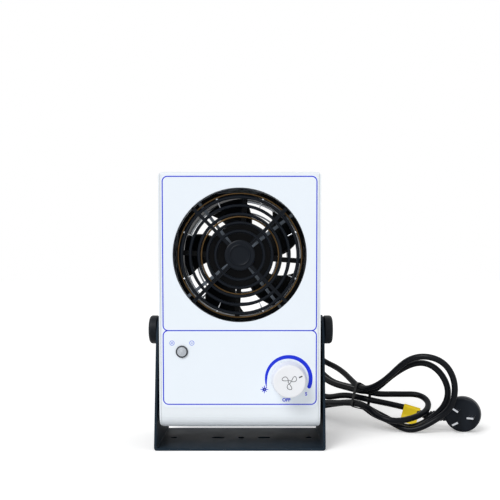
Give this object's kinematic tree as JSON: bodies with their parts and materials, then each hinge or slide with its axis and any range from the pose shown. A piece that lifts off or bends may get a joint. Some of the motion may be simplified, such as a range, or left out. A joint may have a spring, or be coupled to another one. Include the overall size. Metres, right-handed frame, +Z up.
{
  "type": "ionizing blower",
  "caption": "Desktop ionizing blower: a tilting sheet-metal head with a guarded axial fan, emitter needles and speed knob, on a U-shaped stand, with mains cord.",
  "frame": {"origin": "centre of the stand's middle fixing hole, on the underside of the base, which is the surface the object stands on", "axes": "+Z up; the air outlet and the controls face -Y; +X is to the right seen from the front, and the tilt axis runs along X"},
  "size_m": [0.3303, 0.2438, 0.2502],
  "materials": {
    "stand_paint": "black powder coat, satin",
    "rubber_black": "matte",
    "white_paint": "white powder coat, fine texture",
    "overlay_film": "pale printed film, satin",
    "plated_steel": "zinc plated",
    "guard_plastic": "black moulded plastic",
    "grey_plastic": "grey moulded plastic",
    "brass_wire": "drawn wire",
    "needle_steel": "polished",
    "fan_plastic": "black moulded plastic",
    "copper_winding": "enamelled copper wire",
    "chrome_wire": "plated wire",
    "potting_black": "potting resin",
    "board_green": "solder mask",
    "transformer_steel": "varnished laminations",
    "capacitor_sleeve": "shrink sleeve",
    "white_plastic": "fine satin",
    "bezel_plastic": "dark moulded plastic",
    "lamp_lens": "clear moulded lens",
    "knob_plastic": "black moulded plastic",
    "cord_rubber": "smooth, slightly glossy",
    "tie_plastic": "thin band",
    "tag_card": "plain yellow card",
    "plug_plastic": "black moulded plastic"
  },
  "bodies": {
    "stand": {"stand_bracket": "stand_paint", "cord": "cord_rubber", "cord_tie": "tie_plastic", "cord_tag": "tag_card", "plug_body": "plug_plastic", "plug_pins": "plated_steel"},
    "head": {"pivot_washer_left": "rubber_black", "pivot_washer_right": "rubber_black", "front_cover": "white_paint", "rear_cover": "white_paint", "front_overlay": "overlay_film", "threaded_inserts": "plated_steel", "cover_screws": "plated_steel", "front_guard": "guard_plastic", "guard_nuts": "plated_steel", "ionizer_frame": "grey_plastic", "outer_electrode": "brass_wire", "inner_electrode": "brass_wire", "emitter_needles": "needle_steel", "fan_frame": "fan_plastic", "fan_stator": "copper_winding", "fan_bearings": "plated_steel", "fan_screws": "plated_steel", "fan_nuts": "plated_steel", "rear_guard": "chrome_wire", "high_voltage_module": "potting_black", "control_board": "board_green", "board_standoffs": "plated_steel", "board_transformer": "transformer_steel", "board_capacitors": "capacitor_sleeve", "terminal_block": "white_plastic", "earth_stud": "brass_wire", "speed_control": "plated_steel", "control_nut": "plated_steel", "lamp_bezel": "bezel_plastic", "lamp_lens": "lamp_lens", "lamp_nut": "bezel_plastic", "cord_gland": "cord_rubber", "cord_lead": "cord_rubber"},
    "fan_rotor": {"fan_rotor": "fan_plastic", "rotor_shaft": "needle_steel"},
    "speed_knob": {"speed_knob": "white_plastic", "control_shaft": "plated_steel"},
    "clamp_left": {"clamp_knob_left": "knob_plastic", "clamp_stud_left": "plated_steel"},
    "clamp_right": {"clamp_knob_right": "knob_plastic", "clamp_stud_right": "plated_steel"}
  },
  "joints": [
    {"name": "tilt", "type": "hinge", "parent": "stand", "child": "head", "pos_m": [0, 0, 0.1065], "axis": [1, 0, 0], "range_deg": [-60, 60]},
    {"name": "fan_spin", "type": "hinge", "parent": "head", "child": "fan_rotor", "pos_m": [0, 0.02, 0.176], "axis": [0, -1, 0], "continuous": true},
    {"name": "speed_turn", "type": "hinge", "parent": "head", "child": "speed_knob", "pos_m": [0.044, -0.05, 0.065], "axis": [0, 1, 0], "range_deg": [-237, 45]},
    {"name": "clamp_left_turn", "type": "hinge", "parent": "head", "child": "clamp_left", "pos_m": [-0.08, 0, 0.1065], "axis": [-1, 0, 0], "continuous": true},
    {"name": "clamp_right_turn", "type": "hinge", "parent": "head", "child": "clamp_right", "pos_m": [0.08, 0, 0.1065], "axis": [1, 0, 0], "continuous": true}
  ]
}
